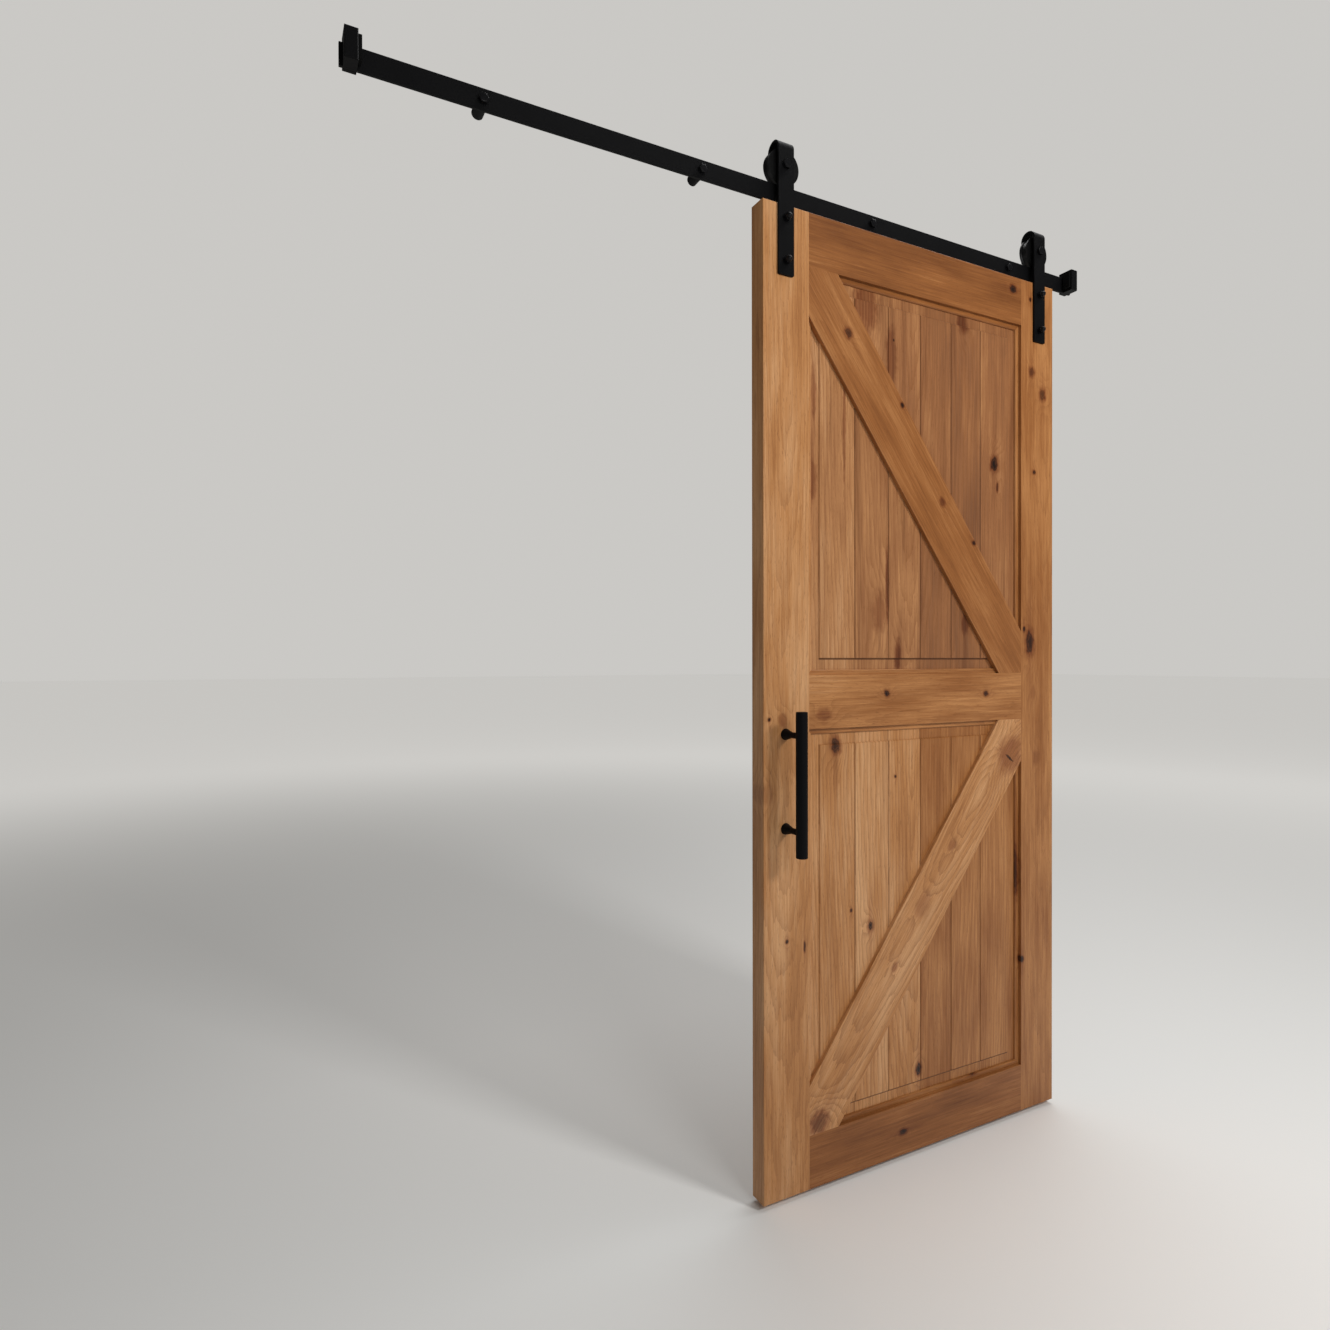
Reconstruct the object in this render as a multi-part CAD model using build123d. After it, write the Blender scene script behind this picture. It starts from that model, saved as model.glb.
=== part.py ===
"""Sliding barn door on a flat wall track, in millimetres.

X runs along the track, +Y goes into the wall and Z is up. The origin lies on the wall end of the
second spacer, at the middle of the rail's height.
"""
import os
from math import atan2, degrees, hypot

from build123d import *

# Door leaf
DOOR_WIDTH = 914
DOOR_HEIGHT = 2134
DOOR_THICK = 44
STILE_WIDTH = 120
CROSS_RAIL_WIDTH = 118
BRACE_WIDTH = 130
LEAF_EDGE = 2
BRACE_EDGE = 1.5
HARDWARE_FROM_EDGE = 57

# Moulded inner edge of the frame
STICKING_WIDTH = 12
STEP_DEPTH = 8
STICKING_EDGE = 2

# Panels
PANEL_EDGE_THICK = 18
PANEL_EDGE_DEPTH = 9
FIELD_RISE = 3
FIELD_INSET = 36
FIELD_CHAMFER = 2
BOARDS_PER_PANEL = 6
VEE_WIDTH = 4
VEE_DEPTH = 2

# Wall track
RAIL_LENGTH = 1830
RAIL_HEIGHT = 40
RAIL_THICK = 6
RAIL_EDGE = 0.8
SPACER_PITCH = 450
SPACER_COUNT = 4
SPACER_RADIUS = 11
SPACER_LENGTH = 38
TRACK_HOLE_RADIUS = 5.5

# Hangers
STRAP_WIDTH = 40
STRAP_THICK = 5
STRAP_BEND_RADIUS = 15
STRAP_CORNER = 3
STRAP_ON_DOOR = 153
STRAP_BOLT_RADIUS = 4.5
UPPER_BOLT_BELOW_DOOR_TOP = 31
STRAP_BOLT_PITCH = 91
CROWN_ABOVE_RAIL = 92
BACK_LEG_BELOW_AXLE = 20
BOSS_RADIUS = 11
AXLE_RADIUS = 6
AXLE_FLATS = 18
AXLE_HEAD_HEIGHT = 7
AXLE_NUT_HEIGHT = 9
AXLE_HEX_CHAMFER = 1

# Wheels
TREAD_RADIUS = 36
FLANGE_HEIGHT = 3.5
WHEEL_WIDTH = 20
GROOVE_WIDTH = 10
GROOVE_FLARE = 2.5

# End stops
STOP_WIDTH = 22
STOP_FROM_END = 6
STOP_ABOVE_RAIL = 13
STOP_IN_FRONT = 26
STOP_BEHIND = 6
STOP_EDGE = 1.5
BUMPER_THICK = 6
BUMPER_WIDTH = 18
BUMPER_HEIGHT = 40

# Pull handle
BAR_RADIUS = 12.5
BAR_LENGTH = 305
BAR_EDGE = 1
POST_PITCH = 203
POST_RADIUS = 6.5
POST_BASE_RADIUS = 12.5
POST_FLARE = 22
BAR_REACH = 57
LOWER_POST_ABOVE_DOOR_BOTTOM = 797

# Clearances and the place of the leaf on the track
DOOR_RIGHT_FROM_RAIL_END = 86
RAIL_TO_DOOR_TOP = 6
WHEEL_ON_RAIL = 0.3
AXLE_RUNNING = 0.05
AXLE_IN_STRAP = 0.2
WHEEL_SIDE = 0.5

# Track positions
spacer_x = [(i - 1) * SPACER_PITCH for i in range(SPACER_COUNT)]
rail_mid_x = (spacer_x[0] + spacer_x[-1]) / 2
rail_left = rail_mid_x - RAIL_LENGTH / 2
rail_right = rail_mid_x + RAIL_LENGTH / 2
rail_back = -SPACER_LENGTH
rail_front = rail_back - RAIL_THICK
wheel_y = (rail_back + rail_front) / 2
rail_top = RAIL_HEIGHT / 2
rail_bottom = -rail_top

# Leaf positions
face_front = wheel_y - STRAP_BEND_RADIUS
face_back = face_front + DOOR_THICK
leaf_mid_y = (face_front + face_back) / 2
door_right = rail_right - DOOR_RIGHT_FROM_RAIL_END
door_left = door_right - DOOR_WIDTH
door_top = rail_bottom - RAIL_TO_DOOR_TOP
door_bottom = door_top - DOOR_HEIGHT
opening_left = door_left + STILE_WIDTH
opening_right = door_right - STILE_WIDTH
opening_width = opening_right - opening_left
opening_height = (DOOR_HEIGHT - 3 * CROSS_RAIL_WIDTH) / 2
opening_x = (opening_left + opening_right) / 2
upper_z = door_top - CROSS_RAIL_WIDTH - opening_height / 2
lower_z = door_bottom + CROSS_RAIL_WIDTH + opening_height / 2
hanger_x = {"left": door_left + HARDWARE_FROM_EDGE, "right": door_right - HARDWARE_FROM_EDGE}
bolt_z = [door_top - UPPER_BOLT_BELOW_DOOR_TOP - i * STRAP_BOLT_PITCH for i in range(2)]
axle_z = rail_top + WHEEL_ON_RAIL + TREAD_RADIUS


def block(x, y, z):
    """A box between pairs of limits."""
    centre = Pos((x[0] + x[1]) / 2, (y[0] + y[1]) / 2, (z[0] + z[1]) / 2)
    return centre * Box(x[1] - x[0], y[1] - y[0], z[1] - z[0])


def rod(radius, x, y, z):
    """A round bar along Y between two limits."""
    return Pos(x, (y[0] + y[1]) / 2, z) * Rot(X=90) * Cylinder(radius, y[1] - y[0])


def prism(points, y):
    """A polygon in X and Z, carried along Y between two limits."""
    plane = Plane((0, y[1], 0), x_dir=(1, 0, 0), z_dir=(0, -1, 0))
    return extrude(plane * Polygon(*points, align=None), y[1] - y[0])


def sticking(length):
    """The stepped and grooved edge along one side of an opening, mitred at both ends."""
    half = length / 2
    depth = DOOR_THICK / 2 - STEP_DEPTH
    strip = block((0, STICKING_WIDTH), (-depth, depth), (-half, half))
    inner = strip.edges().filter_by(Axis.Z).group_by(Axis.X)[-1]
    strip = chamfer(inner, STICKING_EDGE)
    groove = PANEL_EDGE_THICK / 2
    strip -= block((STICKING_WIDTH - PANEL_EDGE_DEPTH, STICKING_WIDTH), (-groove, groove), (-half, half))
    short = half - STICKING_WIDTH
    mitre = [(0, -half), (STICKING_WIDTH, -short), (STICKING_WIDTH, short), (0, half)]
    return strip & prism(mitre, (-depth, depth))


def stile(x, inner_x, turn):
    """An upright of the frame, with eased outer edges and the moulded edges of both openings."""
    piece = block(x, (face_front, face_back), (door_bottom, door_top))
    at_opening = piece.faces().sort_by(lambda f: abs(f.center().X - inner_x))[0].edges()
    across = piece.edges().filter_by(Axis.Y)
    eased = [e for e in piece.edges() if e not in at_opening and e not in across]
    piece = fillet(eased, LEAF_EDGE)
    for z in (upper_z, lower_z):
        piece += Pos(inner_x, leaf_mid_y, z) * Rot(Y=turn) * sticking(opening_height)
    return piece


def cross_rail(z, edges, eased_z=None):
    """A level piece of the frame, with a moulded edge at each given height."""
    piece = block((opening_left, opening_right), (face_front, face_back), z)
    if eased_z is not None:
        outer = piece.faces().sort_by(lambda f: abs(f.center().Z - eased_z))[0]
        piece = fillet(outer.edges().filter_by(Axis.X), LEAF_EDGE)
    for edge_z, turn in edges:
        piece += Pos(opening_x, leaf_mid_y, edge_z) * Rot(Y=turn) * sticking(opening_width)
    return piece


def plain_panel(z):
    """A panel with its raised field, before the grooves are cut."""
    inset = STICKING_WIDTH - PANEL_EDGE_DEPTH
    width = opening_width - 2 * inset
    height = opening_height - 2 * inset
    field_width = opening_width - 2 * FIELD_INSET
    field_height = opening_height - 2 * FIELD_INSET
    field_thick = PANEL_EDGE_THICK + 2 * FIELD_RISE
    field = Box(field_width, field_thick, field_height)
    rims = field.faces().filter_by(Axis.Y).edges()
    solid = Box(width, PANEL_EDGE_THICK, height) + chamfer(rims, FIELD_CHAMFER)
    return Pos(opening_x, leaf_mid_y, z) * solid


def vee_grooves(z):
    """The grooves that mark the boards on both faces of a panel's field."""
    field_width = opening_width - 2 * FIELD_INSET
    field_height = opening_height - 2 * FIELD_INSET
    face = PANEL_EDGE_THICK / 2 + FIELD_RISE
    cuts = []
    for i in range(1, BOARDS_PER_PANEL):
        x = i * field_width / BOARDS_PER_PANEL - field_width / 2
        for side in (-1, 1):
            mouth = [(x - VEE_WIDTH / 2, side * face), (x + VEE_WIDTH / 2, side * face)]
            vee = Polygon(*mouth, (x, side * (face - VEE_DEPTH)), align=None)
            cut = Pos(0, 0, -field_height / 2) * extrude(vee, field_height, dir=(0, 0, 1))
            cuts.append(Pos(opening_x, leaf_mid_y, z) * cut)
    return cuts


def brace(z, lean, face, inward, fitted_to):
    """A diagonal on one face of a panel, flush with the frame and scribed to what it lies on."""
    slope = degrees(atan2(opening_height, opening_width))
    length = hypot(opening_height, opening_width)
    bar = Box(length, DOOR_THICK, BRACE_WIDTH)
    bar = fillet(bar.edges().filter_by(Axis.X), BRACE_EDGE)
    band = Pos(opening_x, leaf_mid_y, z) * Rot(Y=lean * slope) * bar
    depth = (DOOR_THICK - PANEL_EDGE_THICK) / 2
    half = opening_height / 2
    y = sorted((face, face + inward * depth))
    piece = band & block((opening_left, opening_right), y, (z - half, z + half))
    for neighbour in fitted_to:
        piece -= neighbour
    return piece


def strap(x):
    """A flat bar bent over the wheel, with the long leg on the door's face and a boss on each side of the wheel."""
    inner = STRAP_BEND_RADIUS
    outer = inner + STRAP_THICK
    bend_z = rail_top + CROWN_ABOVE_RAIL - outer
    foot_z = door_top - STRAP_ON_DOOR
    heel_z = axle_z - BACK_LEG_BELOW_AXLE
    sides = (x - STRAP_WIDTH / 2, x + STRAP_WIDTH / 2)
    front = (wheel_y - outer, wheel_y - inner)
    back = (wheel_y + inner, wheel_y + outer)
    lay = Pos(x, wheel_y, bend_z) * Rot(Y=90)
    bend = lay * Cylinder(outer, STRAP_WIDTH) - lay * Cylinder(inner, STRAP_WIDTH)
    bend &= block(sides, (front[0], back[1]), (bend_z, bend_z + outer))
    piece = bend
    for y, low in ((front, foot_z), (back, heel_z)):
        leg = block(sides, y, (low, bend_z))
        ends = leg.edges().filter_by(Axis.Y).group_by(Axis.Z)[0]
        piece += fillet(ends, STRAP_CORNER)
    boss = WHEEL_WIDTH / 2 + WHEEL_SIDE
    for y in ((front[1], wheel_y - boss), (wheel_y + boss, back[0])):
        piece += rod(BOSS_RADIUS, x, y, axle_z)
    for z in bolt_z:
        piece -= rod(STRAP_BOLT_RADIUS, x, front, z)
    return piece - rod(AXLE_RADIUS + AXLE_IN_STRAP, x, (front[0], back[1]), axle_z)


def axle(x):
    """A hex bolt through the strap and the wheel, with a nut at the back."""
    outer = STRAP_BEND_RADIUS + STRAP_THICK
    front = wheel_y - outer
    back = wheel_y + outer
    pin = rod(AXLE_RADIUS, x, (front, back), axle_z)
    hexagon = RegularPolygon(AXLE_FLATS / 2, 6, major_radius=False)
    for seat, height, away in ((front, AXLE_HEAD_HEIGHT, -1), (back, AXLE_NUT_HEIGHT, 1)):
        plane = Plane((x, seat, axle_z), x_dir=(1, 0, 0), z_dir=(0, away, 0))
        hexed = extrude(plane * hexagon, height)
        rim = hexed.faces().sort_by(Axis.Y)[0 if away < 0 else -1].edges()
        pin += chamfer(rim, AXLE_HEX_CHAMFER)
    return pin


def wheel(x):
    """A grooved wheel with two flanges."""
    bore = AXLE_RADIUS + AXLE_RUNNING
    side = WHEEL_WIDTH / 2
    groove = GROOVE_WIDTH / 2
    flange = TREAD_RADIUS + FLANGE_HEIGHT
    half = [
        (bore, side),
        (flange, side),
        (flange, groove + GROOVE_FLARE),
        (TREAD_RADIUS, groove),
    ]
    other = [(r, -y) for r, y in reversed(half)]
    section = Polygon(*half, *other, align=None)
    return Pos(x, wheel_y, axle_z) * revolve(section, Axis.Y)


def end_stop(x):
    """A block saddled over the end of the rail."""
    piece = block(x, (rail_front - STOP_IN_FRONT, rail_back + STOP_BEHIND), (rail_bottom, rail_top + STOP_ABOVE_RAIL))
    outside = piece.faces().sort_by(Axis.Y)[0].edges()
    piece = chamfer(outside, STOP_EDGE)
    return piece - block(x, (rail_front, rail_back), (rail_bottom, rail_top))


def bumper(x):
    """A pad on the inner face of an end stop."""
    mid_y = rail_front - STOP_IN_FRONT / 2
    mid_z = STOP_ABOVE_RAIL / 2
    y = (mid_y - BUMPER_WIDTH / 2, mid_y + BUMPER_WIDTH / 2)
    return block(x, y, (mid_z - BUMPER_HEIGHT / 2, mid_z + BUMPER_HEIGHT / 2))


def pull_handle(x):
    """A round bar on two flared posts."""
    low = door_bottom + LOWER_POST_ABOVE_DOOR_BOTTOM
    bar_y = face_front - BAR_REACH
    bar = Cylinder(BAR_RADIUS, BAR_LENGTH)
    bar = chamfer(bar.edges().filter_by(GeomType.CIRCLE), BAR_EDGE)
    piece = Pos(x, bar_y, low + POST_PITCH / 2) * bar
    for z in (low, low + POST_PITCH):
        piece += rod(POST_RADIUS, x, (bar_y, face_front), z)
        flare = Pos(x, face_front - POST_FLARE / 2, z) * Rot(X=90)
        piece += flare * Cone(POST_BASE_RADIUS, POST_RADIUS, POST_FLARE)
    return piece


parts = {}

# Track
rail = block((rail_left, rail_right), (rail_front, rail_back), (rail_bottom, rail_top))
rail = chamfer(rail.edges().filter_by(Axis.X), RAIL_EDGE)
for i, x in enumerate(spacer_x, 1):
    hole = rod(TRACK_HOLE_RADIUS, x, (rail_front, 0), 0)
    rail -= hole
    parts[f"spacer_{i}"] = rod(SPACER_RADIUS, x, (rail_back, 0), 0) - hole
parts["track_rail"] = rail
left_stop = (rail_left + STOP_FROM_END, rail_left + STOP_FROM_END + STOP_WIDTH)
right_stop = (rail_right - STOP_FROM_END - STOP_WIDTH, rail_right - STOP_FROM_END)
parts["left_end_stop"] = end_stop(left_stop)
parts["right_end_stop"] = end_stop(right_stop)
parts["left_bumper"] = bumper((left_stop[1], left_stop[1] + BUMPER_THICK))
parts["right_bumper"] = bumper((right_stop[0] - BUMPER_THICK, right_stop[0]))

# Leaf
half_opening = opening_height / 2
parts["left_stile"] = stile((door_left, opening_left), opening_left, 0)
parts["right_stile"] = stile((opening_right, door_right), opening_right, 180)
parts["top_rail"] = cross_rail(
    (upper_z + half_opening, door_top),
    [(upper_z + half_opening, 90)],
    door_top,
)
parts["middle_rail"] = cross_rail(
    (lower_z + half_opening, upper_z - half_opening),
    [(upper_z - half_opening, -90), (lower_z + half_opening, 90)],
)
parts["bottom_rail"] = cross_rail(
    (door_bottom, lower_z - half_opening),
    [(lower_z - half_opening, -90)],
    door_bottom,
)
stiles = [parts["left_stile"], parts["right_stile"]]
for name, z, lean, end_rails in (
    ("upper", upper_z, 1, ("top_rail", "middle_rail")),
    ("lower", lower_z, -1, ("middle_rail", "bottom_rail")),
):
    blank = plain_panel(z)
    fitted_to = stiles + [parts[rail] for rail in end_rails] + [blank]
    parts[f"front_{name}_brace"] = brace(z, lean, face_front, 1, fitted_to)
    parts[f"back_{name}_brace"] = brace(z, lean, face_back, -1, fitted_to)
    for groove in vee_grooves(z):
        blank -= groove
    parts[f"{name}_panel"] = blank

# Hangers and handle
for side, x in hanger_x.items():
    parts[f"{side}_hanger_strap"] = strap(x)
    parts[f"{side}_axle"] = axle(x)
    parts[f"{side}_wheel"] = wheel(x)
parts["pull_handle"] = pull_handle(hanger_x["left"])

os.makedirs("parts", exist_ok=True)
for name, solid in parts.items():
    export_step(solid, f"parts/{name}.step")
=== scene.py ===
"""A sliding barn door in knotty alder, hung on black steel straps and wheels from a flat wall track."""
import math

import bpy
from mathutils import Euler, Matrix, Vector


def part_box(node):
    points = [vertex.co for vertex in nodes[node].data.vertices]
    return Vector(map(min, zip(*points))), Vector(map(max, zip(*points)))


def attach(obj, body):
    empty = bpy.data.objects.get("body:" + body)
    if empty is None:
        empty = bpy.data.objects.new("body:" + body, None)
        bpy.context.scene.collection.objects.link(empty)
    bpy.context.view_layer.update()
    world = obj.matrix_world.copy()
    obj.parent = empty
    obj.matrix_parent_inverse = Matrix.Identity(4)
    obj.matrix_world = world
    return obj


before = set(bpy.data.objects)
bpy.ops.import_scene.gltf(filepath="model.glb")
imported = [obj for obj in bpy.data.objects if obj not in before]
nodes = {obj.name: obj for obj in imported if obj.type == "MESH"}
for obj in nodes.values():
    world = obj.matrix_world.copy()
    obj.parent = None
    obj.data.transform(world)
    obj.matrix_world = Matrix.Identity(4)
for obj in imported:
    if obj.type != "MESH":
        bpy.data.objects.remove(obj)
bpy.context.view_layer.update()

# Alder boards
# The leaf is knotty alder, planed, sanded and given a clear satin finish. Each stile, rail and brace is one
# board with its own grain, tone and knots, and each panel is glued up from six upright boards.
MM = 1000  # millimetres in a metre


def linear(colour):
    """A linear colour from an sRGB hex value."""
    parts = [int(colour[i : i + 2], 16) / 255 for i in (1, 3, 5)]
    return [c / 12.92 if c <= 0.04045 else ((c + 0.055) / 1.055) ** 2.4 for c in parts] + [1.0]


def add(tree, kind, inputs=None, **settings):
    """One node with its settings, and each input given as a value or as the socket that feeds it.

    Map Range has its value as input 0, the range it comes from as 1 and 2, and the range it goes to as 3
    and 4. Mix has its amount as input 0 and its two colours as 6 and 7.
    """
    node = tree.nodes.new(kind)
    for name, value in settings.items():
        setattr(node, name, value)
    for key, value in (inputs or {}).items():
        if isinstance(value, bpy.types.NodeSocket):
            tree.links.new(value, node.inputs[key])
        else:
            node.inputs[key].default_value = value
    return node


# A knot is a branch cut across: a dark heart in a brown collar, with stained tails up and down the grain and
# the growth rings pushed out around it. Each edge is in knot radii, from where the stain ends to where it is
# full.
heart_edge, core_edge, collar_edge, push_edge = (1.0, 0.82), (0.72, 0.3), (2.0, 0.8), (4.5, 0.0)
tail_stretch, tail_edge, tail_stain = (1.25, 0, 0.2), (1.5, 0.1), 0.55
heart_rings, ring_stain = 21.0, (0.62, 0.94)
blackening, browning = (0.42, 0.9), 2.0

knot_tree = bpy.data.node_groups.new("alder knot", "ShaderNodeTree")
for name in ("Place", "Scale", "Offset", "Wobble"):
    knot_tree.interface.new_socket(name, in_out="INPUT", socket_type="NodeSocketVector")
for name in ("Size", "Dark", "Heart", "Collar", "Push"):
    knot_tree.interface.new_socket(name, in_out="INPUT", socket_type="NodeSocketFloat")
for name in ("Heart", "Collar", "Push"):
    knot_tree.interface.new_socket(name, in_out="OUTPUT", socket_type="NodeSocketFloat")
given = add(knot_tree, "NodeGroupInput").outputs
spot = add(
    knot_tree,
    "ShaderNodeVectorMath",
    {0: given["Place"], 1: given["Scale"], 2: given["Offset"]},
    operation="MULTIPLY_ADD",
).outputs[0]
swell = add(knot_tree, "ShaderNodeVectorMath", {0: spot}, operation="LENGTH").outputs["Value"]
swell = add(
    knot_tree,
    "ShaderNodeMapRange",
    {0: swell, 1: push_edge[0], 2: push_edge[1], 3: 0.0, 4: 1.0},
    interpolation_type="SMOOTHERSTEP",
).outputs[0]
spot = add(knot_tree, "ShaderNodeVectorMath", {0: spot, 1: given["Wobble"]}, operation="ADD").outputs[0]
away = add(knot_tree, "ShaderNodeVectorMath", {0: spot}, operation="LENGTH").outputs["Value"]
black = add(
    knot_tree, "ShaderNodeMapRange", {0: given["Dark"], 1: blackening[0], 2: blackening[1], 3: 0.0, 4: 1.0}
).outputs[0]
heart = add(
    knot_tree,
    "ShaderNodeMapRange",
    {0: away, 1: heart_edge[0], 2: heart_edge[1], 3: 0.0, 4: black},
    interpolation_type="SMOOTHSTEP",
).outputs[0]
rings = add(knot_tree, "ShaderNodeMath", {0: away, 1: heart_rings}, operation="MULTIPLY").outputs[0]
rings = add(knot_tree, "ShaderNodeMath", {0: rings}, operation="SINE").outputs[0]
rings = add(
    knot_tree, "ShaderNodeMapRange", {0: rings, 1: -1.0, 2: 1.0, 3: ring_stain[0], 4: ring_stain[1]}
).outputs[0]
core = add(
    knot_tree,
    "ShaderNodeMapRange",
    {0: away, 1: core_edge[0], 2: core_edge[1], 3: 0.0, 4: 1.0},
    interpolation_type="SMOOTHSTEP",
).outputs[0]
rings = add(knot_tree, "ShaderNodeMath", {0: rings, 1: core}, operation="MAXIMUM").outputs[0]
heart = add(knot_tree, "ShaderNodeMath", {0: heart, 1: rings}, operation="MULTIPLY").outputs[0]
brown = add(
    knot_tree, "ShaderNodeMath", {0: given["Dark"], 1: browning}, operation="MULTIPLY", use_clamp=True
).outputs[0]
collar = add(
    knot_tree,
    "ShaderNodeMapRange",
    {0: away, 1: collar_edge[0], 2: collar_edge[1], 3: 0.0, 4: brown},
    interpolation_type="SMOOTHSTEP",
).outputs[0]
tail = add(knot_tree, "ShaderNodeVectorMath", {0: spot, 1: tail_stretch}, operation="MULTIPLY").outputs[0]
tail = add(knot_tree, "ShaderNodeVectorMath", {0: tail}, operation="LENGTH").outputs["Value"]
tail = add(
    knot_tree, "ShaderNodeMapRange", {0: tail, 1: tail_edge[0], 2: tail_edge[1], 3: 0.0, 4: tail_stain}
).outputs[0]
tail = add(knot_tree, "ShaderNodeMath", {0: tail, 1: given["Dark"]}, operation="MULTIPLY").outputs[0]
collar = add(knot_tree, "ShaderNodeMath", {0: collar, 1: tail}, operation="MAXIMUM").outputs[0]

# Each knot is laid over the ones before it
heart = add(knot_tree, "ShaderNodeMath", {0: heart, 1: given["Heart"]}, operation="MAXIMUM").outputs[0]
collar = add(knot_tree, "ShaderNodeMath", {0: collar, 1: given["Collar"]}, operation="MAXIMUM").outputs[0]
push = add(
    knot_tree, "ShaderNodeMath", {0: swell, 1: given["Size"], 2: given["Push"]}, operation="MULTIPLY_ADD"
).outputs[0]
add(knot_tree, "NodeGroupOutput", {"Heart": heart, "Collar": collar, "Push": push})


def alder(
    name, middle, grain, knots, pith, streaks, arches,
    tone=0.0, board_tones=None, board_pitch=0, field_foot=0, grey=0.0,
):
    """Satin alder for one board, or for a panel's boards: sizes in mm, grain as a direction in X and Z.

    Knots are (x, z, radius, length ratio, darkness) in the row frame. The pith is where the tree's heart lies
    from the board's middle, across and in depth, and how fast it dives along the board. A panel gives a tone
    for each of its boards, their pitch, and how far below its middle the raised field ends. The finish gives
    a soft gloss over fibre lines, growth rings in tall arches, small pores and knots.
    """
    material = bpy.data.materials.new(name)
    material.use_nodes = True
    tree = material.node_tree
    tree.nodes.clear()
    turn = -math.atan2(grain[0], grain[1])
    spin = Euler((0, turn, 0)).to_matrix()
    shift = -(spin @ Vector(middle))
    place = add(tree, "ShaderNodeTexCoord").outputs["Object"]
    place = add(
        tree,
        "ShaderNodeMapping",
        {"Vector": place, "Location": shift, "Rotation": (0, turn, 0), "Scale": (MM, MM, MM)},
    ).outputs[0]
    board, joint_stain_and_foot_shade = place, 0.0
    if board_tones:
        across, _, along = add(tree, "ShaderNodeSeparateXYZ", {0: place}).outputs
        count = len(board_tones)
        half = count * board_pitch / 2
        share = add(tree, "ShaderNodeMapRange", {0: across, 1: -half, 2: half, 3: 0.0, 4: 1.0}).outputs[0]
        ramp = add(tree, "ShaderNodeValToRGB", {0: share})
        ramp.color_ramp.interpolation = "CONSTANT"
        for i, value in enumerate(board_tones):
            stop = ramp.color_ramp.elements[i] if i < 2 else ramp.color_ramp.elements.new(i / count)
            stop.position = i / count
            stop.color = (value, value, value, 1)
        tone = ramp.outputs[0]

        # Each board is cut from its own place in the tree
        tree_spread = (70, 50, 2400)
        number = add(tree, "ShaderNodeMath", {0: share, 1: count - 0.001}, operation="MULTIPLY").outputs[0]
        number = add(tree, "ShaderNodeMath", {0: number}, operation="FLOOR").outputs[0]
        own = add(tree, "ShaderNodeTexWhiteNoise", {"W": number}, noise_dimensions="1D").outputs["Color"]
        own = add(tree, "ShaderNodeVectorMath", {0: own, 1: (0.5, 0.5, 0.5)}, operation="SUBTRACT").outputs[0]
        board = add(
            tree, "ShaderNodeVectorMath", {0: own, 1: tree_spread, 2: place}, operation="MULTIPLY_ADD"
        ).outputs[0]

        # The finish gathers in the joints between the boards; painted shade darkens the field's bottom edge
        joint_full, joint_end, joint_stain = 0.6 / board_pitch, 2.4 / board_pitch, 0.3
        foot_full, foot_end, foot_shade_strength = 1.4, 2.8, 0.75
        joint_stain_and_foot_shade = add(tree, "ShaderNodeMath", {0: across, 1: 1 / board_pitch}, operation="MULTIPLY").outputs[0]
        joint_stain_and_foot_shade = add(tree, "ShaderNodeMath", {0: joint_stain_and_foot_shade, 1: 0.5}, operation="PINGPONG").outputs[0]
        joint_stain_and_foot_shade = add(
            tree, "ShaderNodeMapRange", {0: joint_stain_and_foot_shade, 1: joint_full, 2: joint_end, 3: joint_stain, 4: 0.0}
        ).outputs[0]
        aside = add(tree, "ShaderNodeMath", {0: across}, operation="ABSOLUTE").outputs[0]
        inner = half - board_pitch / 2
        inner = add(tree, "ShaderNodeMath", {0: aside, 1: inner}, operation="LESS_THAN").outputs[0]
        joint_stain_and_foot_shade = add(tree, "ShaderNodeMath", {0: joint_stain_and_foot_shade, 1: inner}, operation="MULTIPLY").outputs[0]
        # Painted shade under the raised field's bottom step, darker than the joints
        foot_shade = add(tree, "ShaderNodeMath", {0: along, 1: field_foot}, operation="ADD").outputs[0]
        foot_shade = add(tree, "ShaderNodeMath", {0: foot_shade}, operation="ABSOLUTE").outputs[0]
        foot_shade = add(
            tree, "ShaderNodeMapRange", {0: foot_shade, 1: foot_full, 2: foot_end, 3: foot_shade_strength, 4: 0.0}
        ).outputs[0]
        within = add(tree, "ShaderNodeMath", {0: aside, 1: half}, operation="LESS_THAN").outputs[0]
        foot_shade = add(tree, "ShaderNodeMath", {0: foot_shade, 1: within}, operation="MULTIPLY").outputs[0]
        joint_stain_and_foot_shade = add(tree, "ShaderNodeMath", {0: joint_stain_and_foot_shade, 1: foot_shade}, operation="MAXIMUM").outputs[0]
    seed = sum(ord(c) for c in name) % 97
    start = (seed * 37, 0, seed * 211)
    sample = add(tree, "ShaderNodeVectorMath", {0: board, 1: start}, operation="ADD").outputs[0]

    def figure(wide, long, detail, rough=0.5):
        """Noise drawn out along the grain, with its feature size across and along in mm."""
        drawn = (1 / wide, 1 / wide, 1 / long)
        drawn = add(tree, "ShaderNodeVectorMath", {0: sample, 1: drawn}, operation="MULTIPLY").outputs[0]
        return add(
            tree, "ShaderNodeTexNoise", {"Vector": drawn, "Scale": 1.0, "Detail": detail, "Roughness": rough}
        ).outputs

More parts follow.
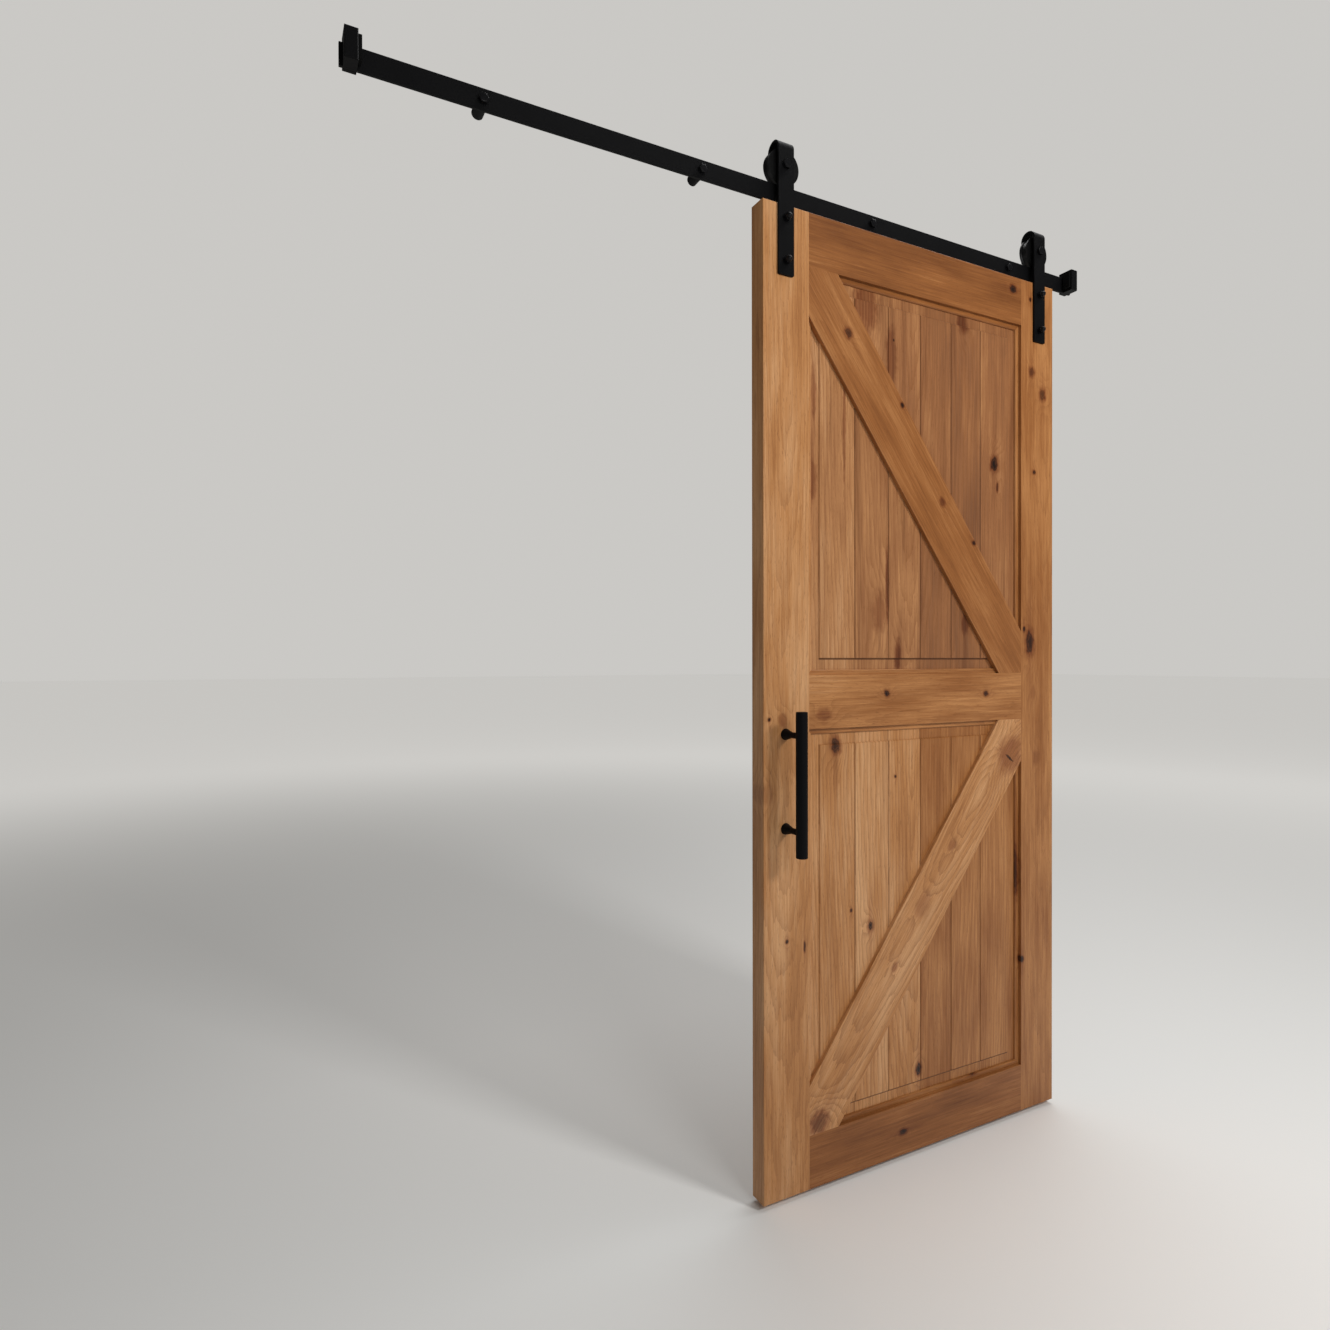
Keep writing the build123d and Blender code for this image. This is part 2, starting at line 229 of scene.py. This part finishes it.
    # Knots with an uneven outline, which is moved by up to about 0.6 of a radius
    wobble_reach = (0.6, 0, 0.6)
    wobble = figure(10, 16, 2)["Color"]
    wobble = add(
        tree,
        "ShaderNodeVectorMath",
        {0: wobble, 1: [2 * r for r in wobble_reach], 2: [-r for r in wobble_reach]},
        operation="MULTIPLY_ADD",
    ).outputs[0]
    heart, collar, push = 0.0, 0.0, 0.0
    for x, z, radius, ratio, dark in knots:
        at = spin @ Vector((x, 0, z)) + shift
        scale = (1 / radius, 0, 1 / (radius * ratio))
        knot = add(
            tree,
            "ShaderNodeGroup",
            {
                "Place": place,
                "Scale": scale,
                "Offset": (-at.x * scale[0], 0, -at.z * scale[2]),
                "Wobble": wobble,
                "Size": radius * (0.8 + 1.6 * dark),
                "Dark": dark,
                "Heart": heart,
                "Collar": collar,
                "Push": push,
            },
            node_tree=knot_tree,
        )
        heart, collar, push = (knot.outputs[n] for n in ("Heart", "Collar", "Push"))

    # Growth rings about the pith, which dives along the board and so draws arches on its face
    ring_width, ring_waver, late_power, sway_reach = 9.0, 12.0, 2.5, (17, 30, 0)
    sway = figure(200, 800, 1.5)["Color"]
    sway = add(
        tree,
        "ShaderNodeVectorMath",
        {0: sway, 1: [2 * r for r in sway_reach], 2: [-r for r in sway_reach]},
        operation="MULTIPLY_ADD",
    ).outputs[0]
    sway = add(tree, "ShaderNodeVectorMath", {0: sway, 1: board}, operation="ADD").outputs[0]
    out = add(tree, "ShaderNodeVectorMath", {0: sway, 1: (1, 0, 0)}, operation="DOT_PRODUCT").outputs["Value"]
    dive = (0, 1, pith[2])
    deep = add(tree, "ShaderNodeVectorMath", {0: sway, 1: dive}, operation="DOT_PRODUCT").outputs["Value"]
    out = add(tree, "ShaderNodeMath", {0: out, 1: pith[0]}, operation="SUBTRACT").outputs[0]
    deep = add(tree, "ShaderNodeMath", {0: deep, 1: pith[1]}, operation="SUBTRACT").outputs[0]
    ring = add(tree, "ShaderNodeCombineXYZ", {0: out, 1: deep}).outputs[0]
    ring = add(tree, "ShaderNodeVectorMath", {0: ring}, operation="LENGTH").outputs["Value"]
    ring = add(tree, "ShaderNodeMath", {0: ring, 1: push}, operation="ADD").outputs[0]
    waver = figure(16, 110, 3)["Fac"]
    ring = add(
        tree, "ShaderNodeMath", {0: waver, 1: ring_waver, 2: ring}, operation="MULTIPLY_ADD"
    ).outputs[0]
    ring = add(tree, "ShaderNodeMath", {0: ring, 1: 1 / ring_width}, operation="MULTIPLY").outputs[0]
    ring = add(tree, "ShaderNodeMath", {0: ring}, operation="FRACT").outputs[0]
    late = add(tree, "ShaderNodeMath", {0: ring, 1: late_power}, operation="POWER").outputs[0]
    late = add(tree, "ShaderNodeMath", {0: late, 1: arches}, operation="MULTIPLY").outputs[0]

    # Fibres, bands and broad patches make the tone, and pores and dark streaks lie on it
    pore_edge, pore_stain, streak_edge = (0.62, 0.74), 0.4, (0.54, 0.76)
    fibre = figure(2.4, 90, 3, 0.65)["Fac"]
    band = figure(6, 260, 4, 0.7)["Fac"]
    mottle = figure(62, 300, 3)["Fac"]
    pore = figure(1.5, 14, 1)["Fac"]
    pore = add(
        tree, "ShaderNodeMapRange", {0: pore, 1: pore_edge[0], 2: pore_edge[1], 3: 0.0, 4: pore_stain}
    ).outputs[0]
    streak = figure(20, 460, 3)["Fac"]
    streak = add(
        tree, "ShaderNodeMapRange", {0: streak, 1: streak_edge[0], 2: streak_edge[1], 3: 0.0, 4: streaks}
    ).outputs[0]

    # Noise lies about one half, so the level starts below zero by half of its weights
    weights = ((mottle, 0.85), (band, 0.5), (fibre, 0.5))
    level = -sum(weight for _, weight in weights) / 2
    for noise, weight in weights:
        level = add(
            tree, "ShaderNodeMath", {0: noise, 1: weight, 2: level}, operation="MULTIPLY_ADD"
        ).outputs[0]
    level = add(tree, "ShaderNodeMath", {0: level, 1: tone}, operation="ADD", use_clamp=True).outputs[0]
    shades = add(tree, "ShaderNodeValToRGB", {0: level})
    wood_tones = ((0.0, "#6b3d1a"), (0.35, "#945d30"), (0.65, "#b8804d"), (1.0, "#d6a576"))
    for i, (stop, tint) in enumerate(wood_tones):
        shade = shades.color_ramp.elements[i] if i < 2 else shades.color_ramp.elements.new(stop)
        shade.position = stop
        shade.color = linear(tint)
    colour = add(
        tree, "ShaderNodeMix", {0: grey, 6: shades.outputs[0], 7: linear("#a08470")}, data_type="RGBA"
    ).outputs[2]
    broken = add(tree, "ShaderNodeMapRange", {0: band, 1: 0.35, 2: 0.62, 3: 0.55, 4: 1.0}).outputs[0]
    stain = add(tree, "ShaderNodeMath", {0: collar, 1: broken}, operation="MULTIPLY").outputs[0]
    for amount, tint, blend in (
        (late, "#7c4a24", "MIX"),
        (streak, "#5e3219", "MIX"),
        (pore, "#66391b", "MIX"),
        (stain, "#a97f68", "MULTIPLY"),
        # Dark joints, plus painted shade along the raised field's bottom edge
        (joint_stain_and_foot_shade, "#44230f", "MIX"),
        (heart, "#1b0c06", "MIX"),
    ):
        colour = add(
            tree, "ShaderNodeMix", {0: amount, 6: colour, 7: linear(tint)}, data_type="RGBA", blend_type=blend
        ).outputs[2]

    # A satin coat that sinks a little into the pores
    roughest, smoothest = 0.5, 0.4
    gloss = add(
        tree, "ShaderNodeMapRange", {0: fibre, 1: 0.3, 2: 0.7, 3: roughest, 4: smoothest}
    ).outputs[0]
    height = add(tree, "ShaderNodeMath", {0: pore, 1: -1.0, 2: fibre}, operation="MULTIPLY_ADD").outputs[0]
    bump = add(tree, "ShaderNodeBump", {"Strength": 0.25, "Distance": 0.0002, "Height": height}).outputs[0]
    shader = add(
        tree,
        "ShaderNodeBsdfPrincipled",
        {"Base Color": colour, "Roughness": gloss, "Specular IOR Level": 0.35, "Normal": bump},
    )
    add(tree, "ShaderNodeOutputMaterial", {0: shader.outputs[0]})
    return material


def middle_of(node):
    """The middle of a CAD node, in mm."""
    low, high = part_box(node)
    return [(low[i] + high[i]) / 2 * MM for i in range(3)]


def dress(node, material):
    """Gives a CAD node its finish."""
    for slot in nodes[node].material_slots:
        slot.material = material


UPRIGHT, LEVEL = (0, 1), (1, 0)
boards = {
    "left_stile": dict(
        grain=UPRIGHT, tone=0.70, pith=(-8, 40, 0.05), streaks=0.05, arches=0.3,
        knots=[
            (155, -1127, 3.5, 1.2, 0.9), (190, -1130, 8, 1.4, 0.35), (200, -1606, 4, 1.3, 1.0),
            (247, -1625, 2.5, 4.0, 0.8), (150, -1285, 12, 1.4, 0.22),
        ],
    ),
    "right_stile": dict(
        grain=UPRIGHT, tone=0.46, pith=(30, 46, 0.04), streaks=0.1, arches=0.3,
        knots=[
            (968, -72, 4, 1.3, 0.9), (973, -258, 9, 1.3, 0.65), (1015, -310, 11, 1.4, 0.7),
            (983, -515, 5, 1.3, 1.0), (966, -955, 14, 2.2, 0.85), (945, -922, 5, 1.4, 0.9),
            (978, -1085, 8, 1.6, 0.22), (990, -1255, 9, 1.6, 0.22), (937, -1770, 6, 1.5, 0.9),
            (922, -1545, 8, 7.0, 0.75),
        ],
    ),
    "top_rail": dict(
        grain=LEVEL, tone=0.22, pith=(-70, 40, 0.03), streaks=0.2, arches=0.35,
        knots=[(903, -58, 9, 1.3, 1.0)],
    ),
    "middle_rail": dict(
        grain=LEVEL, tone=0.50, pith=(60, 50, 0.03), streaks=0.18, arches=0.35,
        knots=[(482, -1078, 7, 1.2, 1.0), (806, -1085, 6.5, 1.2, 0.85), (301, -1121, 11, 1.3, 0.44)],
    ),
    "bottom_rail": dict(
        grain=LEVEL, tone=0.30, pith=(-40, 44, 0.05), streaks=0.22, arches=0.4,
        knots=[(533, -2105, 7, 1.6, 1.0), (770, -2027, 7, 1.5, 0.8)],
    ),
}
for node, board in boards.items():
    dress(node, alder(f"satin alder {node}", middle_of(node), **board))

# Panels
# Six upright boards with vee joints make each panel, and their field is raised inside a plain margin. The
# upper panel is darker and more streaked.
field_margin = 33  # mm
panels = {
    "upper_panel": dict(
        board_tones=[0.61, 0.50, 0.46, 0.28, 0.23, 0.36], streaks=0.5, grey=0.14,
        knots=[
            (847, -507, 12, 1.6, 1.0), (858, -565, 4, 2.5, 0.7), (513, -255, 3, 1.3, 0.9),
            (430, -190, 26, 1.8, 0.45), (505, -290, 12, 4.0, 0.4), (738, -172, 12, 1.8, 0.5),
            (493, -825, 4, 18.0, 0.55), (468, -890, 14, 2.6, 0.35), (526, -992, 7, 4.0, 0.5),
            (745, -912, 9, 2.2, 0.45), (282, -410, 5, 9.0, 0.4), (276, -600, 9, 4.0, 0.4),
            (366, -470, 3, 30.0, 0.4),
        ],
    ),
    "lower_panel": dict(
        board_tones=[0.64, 0.80, 0.70, 0.40, 0.47, 0.46], streaks=0.2,
        knots=[
            (341, -1192, 12, 1.5, 0.82), (442, -1612, 8, 1.6, 1.0), (385, -1568, 3, 1.4, 0.9),
            (518, -1273, 3, 1.2, 0.9), (590, -1977, 8, 1.7, 0.95),
        ],
    ),
}
for node, panel in panels.items():
    low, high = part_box(node)
    material = alder(
        f"satin alder {node}",
        middle_of(node),
        grain=UPRIGHT,
        pith=(0, 100, 0.07),
        arches=0.42,
        board_pitch=((high[0] - low[0]) * MM - 2 * field_margin) / len(panel["board_tones"]),
        field_foot=(high[2] - low[2]) / 2 * MM - field_margin,
        **panel,
    )
    dress(node, material)

# Braces
# One board lies on each diagonal of an opening, with its grain along its length. The lower ones have a wilder
# figure.
opening_width, opening_height = 674, 890  # mm
falling, rising = (opening_width, -opening_height), (opening_width, opening_height)
braces = {
    "front_upper_brace": dict(
        grain=falling, tone=0.40, pith=(50, 40, 0.03), streaks=0.1, arches=0.3,
        knots=[
            (370, -268, 9, 1.3, 0.75), (530, -407, 5.5, 1.2, 1.0), (657, -622, 7, 1.4, 0.55),
            (764, -712, 6, 1.2, 1.0),
        ],
    ),
    "back_upper_brace": dict(
        grain=falling, tone=0.56, pith=(-40, 40, 0.03), streaks=0.1, arches=0.3,
        knots=[(450, -420, 7, 1.3, 0.8), (720, -770, 6, 1.2, 0.9)],
    ),
    "front_lower_brace": dict(
        grain=rising, tone=0.74, pith=(-12, 40, 0.09), streaks=0.12, arches=0.45,
        knots=[
            (895, -1240, 30, 1.2, 0.42), (890, -1250, 17, 0.22, 1.0), (690, -1450, 8, 1.5, 0.35),
            (595, -1580, 13, 1.8, 0.25), (505, -1715, 6, 1.4, 0.4), (285, -2020, 20, 1.1, 0.6),
        ],
    ),
    "back_lower_brace": dict(
        grain=rising, tone=0.60, pith=(14, 40, 0.08), streaks=0.12, arches=0.5,
        knots=[(520, -1690, 8, 1.3, 0.8), (770, -1380, 6, 1.3, 0.8)],
    ),
}
for node, board in braces.items():
    dress(node, alder(f"satin alder {node}", middle_of(node), **board))

# Track, straps, stops and pull
# Flat bar, spacers, bent straps, stops and the bar pull are mild steel under one matte black powder coat,
# which dries to a fine orange peel and takes a faint grey sheen along its edges.


def black_finish(name, tint, rough, shine=0.11):
    """A matte black surface with a fine grain, drawn at 0.9 mm so that it shows, and faint dusty patches."""
    grain_size, dust_size, dust_gain = 0.0009, 0.06, 1.7
    material = bpy.data.materials.new(name)
    material.use_nodes = True
    tree = material.node_tree
    tree.nodes.clear()
    place = add(tree, "ShaderNodeTexCoord").outputs["Object"]
    peel = add(
        tree, "ShaderNodeTexNoise", {"Vector": place, "Scale": 1 / grain_size, "Detail": 2.0}
    ).outputs["Fac"]
    dust = add(
        tree, "ShaderNodeTexNoise", {"Vector": place, "Scale": 1 / dust_size, "Detail": 4.0}
    ).outputs["Fac"]
    dark = linear(tint)
    pale = [c * dust_gain for c in dark[:3]] + [1.0]
    colour = add(tree, "ShaderNodeMix", {0: dust, 6: dark, 7: pale}, data_type="RGBA").outputs[2]
    smoothest, roughest = rough - 0.05, rough + 0.06
    gloss = add(
        tree, "ShaderNodeMapRange", {0: dust, 1: 0.3, 2: 0.7, 3: smoothest, 4: roughest}
    ).outputs[0]
    bump = add(tree, "ShaderNodeBump", {"Strength": 0.3, "Distance": 0.0001, "Height": peel}).outputs[0]
    shader = add(
        tree,
        "ShaderNodeBsdfPrincipled",
        {"Base Color": colour, "Roughness": gloss, "Specular IOR Level": shine, "Normal": bump},
    )
    add(tree, "ShaderNodeOutputMaterial", {0: shader.outputs[0]})
    return material


black_coat = black_finish("matte black powder coat", "#070708", 0.55)
coated = ("track", "spacer", "left_end", "right_end", "left_hanger", "right_hanger", "pull")
for node in nodes:
    if node.startswith(coated):
        dress(node, black_coat)

# Wheels and bumpers
# The wheels are turned black nylon, a little glossier than the coat, and run on the rail. The stops' pads are
# dull black rubber.
nylon = black_finish("turned black nylon", "#070707", 0.38, 0.24)
rubber = black_finish("black rubber", "#060606", 0.75)
for side in ("left", "right"):
    dress(f"{side}_wheel", nylon)
    dress(f"{side}_bumper", rubber)

# Bolts
# Hex lag bolts hold the rail to the wall, and domed nuts on through bolts hold the straps to the stiles.
# They and the axles are blackened steel, a little glossier than the coat around them.
black_oxide = black_finish("blackened steel", "#08080a", 0.34, 0.2)
for side in ("left", "right"):
    dress(f"{side}_axle", black_oxide)

bolt_tree = bpy.data.node_groups.new("bolts on points", "GeometryNodeTree")
bolt_tree.interface.new_socket("Geometry", in_out="INPUT", socket_type="NodeSocketGeometry")
for name, size in (
    ("Flats", 0.016),
    ("Height", 0.006),
    ("Chamfer", 0.001),
    ("Dome", 0.0005),
    ("Washer", 0.01),
    ("Washer Thickness", 0.0012),
    ("Shank", 0.004),
    ("Shank Length", 0.04),
):
    bolt_tree.interface.new_socket(name, in_out="INPUT", socket_type="NodeSocketFloat").default_value = size
bolt_tree.interface.new_socket("Turn", in_out="INPUT", socket_type="NodeSocketVector")
bolt_tree.interface.new_socket("Finish", in_out="INPUT", socket_type="NodeSocketMaterial")
bolt_tree.interface.new_socket("Geometry", in_out="OUTPUT", socket_type="NodeSocketGeometry")

# One bolt stands on its seat along +Z: washer, hexagon, its eased top, crown, and the shank below
rim_share, crown_share = 0.86, 0.47
asked = add(bolt_tree, "NodeGroupInput").outputs
seat = asked["Washer Thickness"]
corner = add(bolt_tree, "ShaderNodeMath", {0: asked["Flats"], 1: math.sqrt(3)}, operation="DIVIDE").outputs[0]
rim = add(bolt_tree, "ShaderNodeMath", {0: corner, 1: rim_share}, operation="MULTIPLY").outputs[0]
washer = add(
    bolt_tree, "GeometryNodeMeshCylinder", {"Vertices": 40, "Radius": asked["Washer"], "Depth": seat}
).outputs["Mesh"]
hexagon = add(
    bolt_tree, "GeometryNodeMeshCylinder", {"Vertices": 6, "Radius": corner, "Depth": asked["Height"]}
).outputs["Mesh"]
easing = add(
    bolt_tree,
    "GeometryNodeMeshCone",
    {"Vertices": 6, "Radius Top": rim, "Radius Bottom": corner, "Depth": asked["Chamfer"]},
).outputs["Mesh"]
crown = add(
    bolt_tree, "GeometryNodeMeshUVSphere", {"Segments": 28, "Rings": 14, "Radius": 1.0}
).outputs["Mesh"]
crown = add(bolt_tree, "GeometryNodeSetShadeSmooth", {"Geometry": crown}).outputs[0]
shank = add(
    bolt_tree,
    "GeometryNodeMeshCylinder",
    {"Vertices": 24, "Radius": asked["Shank"], "Depth": asked["Shank Length"]},
).outputs["Mesh"]

half_seat = add(bolt_tree, "ShaderNodeMath", {0: seat, 1: 0.5}, operation="MULTIPLY").outputs[0]
lift = add(
    bolt_tree, "ShaderNodeMath", {0: asked["Height"], 1: 0.5, 2: seat}, operation="MULTIPLY_ADD"
).outputs[0]
top = add(bolt_tree, "ShaderNodeMath", {0: asked["Height"], 1: seat}, operation="ADD").outputs[0]
crest = add(bolt_tree, "ShaderNodeMath", {0: top, 1: asked["Chamfer"]}, operation="ADD").outputs[0]
sink = add(bolt_tree, "ShaderNodeMath", {0: asked["Shank Length"], 1: -0.5}, operation="MULTIPLY").outputs[0]
round_size = add(
    bolt_tree, "ShaderNodeMath", {0: asked["Flats"], 1: crown_share}, operation="MULTIPLY"
).outputs[0]
crown_size = add(
    bolt_tree, "ShaderNodeCombineXYZ", {0: round_size, 1: round_size, 2: asked["Dome"]}
).outputs[0]
plain_size = (1, 1, 1)
whole = add(bolt_tree, "GeometryNodeJoinGeometry")
for shape, height, size in (
    (washer, half_seat, plain_size),
    (hexagon, lift, plain_size),
    (easing, top, plain_size),
    (crown, crest, crown_size),
    (shank, sink, plain_size),
):
    raised = add(bolt_tree, "ShaderNodeCombineXYZ", {2: height}).outputs[0]
    stacked = add(
        bolt_tree, "GeometryNodeTransform", {"Geometry": shape, "Translation": raised, "Scale": size}
    ).outputs[0]
    bolt_tree.links.new(stacked, whole.inputs[0])
spread = add(
    bolt_tree,
    "GeometryNodeInstanceOnPoints",
    {"Points": asked["Geometry"], "Instance": whole.outputs[0], "Rotation": asked["Turn"]},
).outputs[0]
solid = add(bolt_tree, "GeometryNodeRealizeInstances", {0: spread}).outputs[0]
solid = add(bolt_tree, "GeometryNodeSetMaterial", {"Geometry": solid, "Material": asked["Finish"]}).outputs[0]
add(bolt_tree, "NodeGroupOutput", {0: solid})


def bolts(name, places, body, sizes):
    """Bolts at given places, turned into one plain mesh that rides on a body."""
    points = bpy.data.meshes.new(f"{name} points")
    points.from_pydata(places, [], [])
    holder = bpy.data.objects.new(f"{name}_points", points)
    bpy.context.scene.collection.objects.link(holder)
    modifier = holder.modifiers.new("bolts", "NODES")
    modifier.node_group = bolt_tree
    for item in bolt_tree.interface.items_tree:
        if item.in_out == "INPUT" and item.name in sizes:
            modifier[item.identifier] = sizes[item.name]
    evaluated = holder.evaluated_get(bpy.context.evaluated_depsgraph_get())
    mesh = bpy.data.meshes.new_from_object(evaluated)
    bpy.data.objects.remove(holder)
    piece = bpy.data.objects.new(name, mesh)
    bpy.context.scene.collection.objects.link(piece)
    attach(piece, body)


facing_room, facing_wall = (math.pi / 2, 0, 0), (-math.pi / 2, 0, 0)
rail_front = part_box("track_rail")[0][1]
spacer_places = [sum(end[0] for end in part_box(f"spacer_{i}")) / 2 for i in range(1, 5)]
bolts(
    "rail_lag_bolts",
    [(x, rail_front, 0) for x in spacer_places],
    "track",
    {
        "Flats": 0.016,
        "Height": 0.0046,
        "Dome": 0.0005,
        "Washer": 0.0102,
        "Washer Thickness": 0.0012,
        "Shank": 0.005,
        "Shank Length": -rail_front,
        "Turn": facing_room,
        "Finish": black_oxide,
    },
)
nut_drops = (0.031, 0.122)
door_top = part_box("top_rail")[1][2]
strap_places = []
for side in ("left", "right"):
    low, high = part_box(f"{side}_hanger_strap")
    strap_places += [((low[0] + high[0]) / 2, door_top - drop) for drop in nut_drops]
strap_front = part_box("left_hanger_strap")[0][1]
leaf_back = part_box("left_stile")[1][1]
bolts(
    "strap_dome_nuts",
    [(x, strap_front, z) for x, z in strap_places],
    "door",
    {
        "Flats": 0.0145,
        "Height": 0.0075,
        "Dome": 0.0072,
        "Washer": 0.0088,
        "Washer Thickness": 0.0012,
        "Shank": 0.0042,
        "Shank Length": 0.005,
        "Turn": facing_room,
        "Finish": black_oxide,
    },
)
bolts(
    "strap_back_nuts",
    [(x, leaf_back, z) for x, z in strap_places],
    "door",
    {
        "Flats": 0.014,
        "Height": 0.0038,
        "Dome": 0.0005,
        "Washer": 0.011,
        "Washer Thickness": 0.0012,
        "Shank": 0.0042,
        "Shank Length": 0.001,
        "Turn": facing_wall,
        "Finish": black_oxide,
    },
)

# Studio
# A pale floor just below the leaf and a pale backdrop, seen by a camera at the photograph's place. The key
# light is to the upper right and polarised, so it draws shadows without glare. A broad light in front gives
# the finish its sheen, and one above lights the floor.
reach, floor_gap = 60.0, 0.012
floor_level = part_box("bottom_rail")[0][2] - floor_gap
floor_mesh = bpy.data.meshes.new("floor")
floor_mesh.from_pydata(
    [(x, y, floor_level) for x, y in ((-reach, -reach), (reach, -reach), (reach, reach), (-reach, reach))],
    [],
    [(0, 1, 2, 3)],
)
floor = bpy.data.objects.new("floor", floor_mesh)
bpy.context.scene.collection.objects.link(floor)

# Far from the leaf the floor glows faintly, so that it runs into the backdrop
glow_start, glow_full, glow_strength = 2.2, 9.0, 0.52
backdrop_colour = linear("#f0eeea")
floor_paint = bpy.data.materials.new("pale studio floor")
floor_paint.use_nodes = True
sweep = floor_paint.node_tree
paint = sweep.nodes["Principled BSDF"].inputs
paint["Base Color"].default_value = linear("#f2f1ee")
paint["Roughness"].default_value = 0.7
paint["Emission Color"].default_value = backdrop_colour
far = add(sweep, "ShaderNodeTexCoord").outputs["Object"]
far = add(sweep, "ShaderNodeVectorMath", {0: far}, operation="LENGTH").outputs["Value"]
far = add(
    sweep,
    "ShaderNodeMapRange",
    {0: far, 1: glow_start, 2: glow_full, 3: 0.0, 4: glow_strength},
    interpolation_type="SMOOTHSTEP",
).outputs[0]
sweep.links.new(far, paint["Emission Strength"])
floor_mesh.materials.append(floor_paint)

# The backdrop lights the leaf weakly, but is seen as pale from every side
backdrop_light, backdrop_seen = 0.15, 0.68
world = bpy.data.worlds.new("pale surround")
bpy.context.scene.world = world
world.use_nodes = True
sky = world.node_tree
backdrop = sky.nodes["Background"]
backdrop.inputs["Color"].default_value = backdrop_colour
seen = add(sky, "ShaderNodeLightPath").outputs["Is Camera Ray"]
glow = add(sky, "ShaderNodeMapRange", {0: seen, 1: 0.0, 2: 1.0, 3: backdrop_light, 4: backdrop_seen})
sky.links.new(glow.outputs[0], backdrop.inputs["Strength"])

for name, place, aim, size, power, glare in (
    ("key", (1.45, -2.3, 0.4), (0.5, 0, -1.0), 0.5, 38, False),
    ("front", (0.2, -2.7, 0.1), (0.5, 0, -0.95), 1.0, 17, True),
    ("overhead", (2.2, 0.6, 2.8), (2.2, 0.61, 0), 3.6, 120, True),
):
    lamp = bpy.data.lights.new(name, "AREA")
    lamp.size = size
    lamp.energy = power
    holder = bpy.data.objects.new(name, lamp)
    holder.location = place
    holder.visible_glossy = glare
    holder.rotation_euler = (Vector(aim) - Vector(place)).to_track_quat("-Z", "Y").to_euler()
    bpy.context.scene.collection.objects.link(holder)

# The camera was fitted to the leaf's four corners in the photograph
photo_width, focal_pixels, sensor = 1330, 804.2, 36.0
eye = (-0.8236, -1.4701, -1.0023)
yaw, pitch, roll = (math.radians(a) for a in (27.295, -0.281, -0.102))
camera_data = bpy.data.cameras.new("photo camera")
camera_data.sensor_width = sensor
camera_data.lens = focal_pixels / photo_width * sensor
camera = bpy.data.objects.new("photo camera", camera_data)
forward = Vector((math.sin(yaw) * math.cos(pitch), math.cos(yaw) * math.cos(pitch), math.sin(pitch)))
right = Vector((math.cos(yaw), -math.sin(yaw), 0))
up = right.cross(forward)
camera_x = right * math.cos(roll) + up * math.sin(roll)
camera_y = up * math.cos(roll) - right * math.sin(roll)
facing = Matrix((camera_x, camera_y, -forward)).transposed().to_4x4()
camera.matrix_world = Matrix.Translation(eye) @ facing
bpy.context.scene.collection.objects.link(camera)
bpy.context.scene.camera = camera
bpy.context.scene.view_settings.view_transform = "Standard"
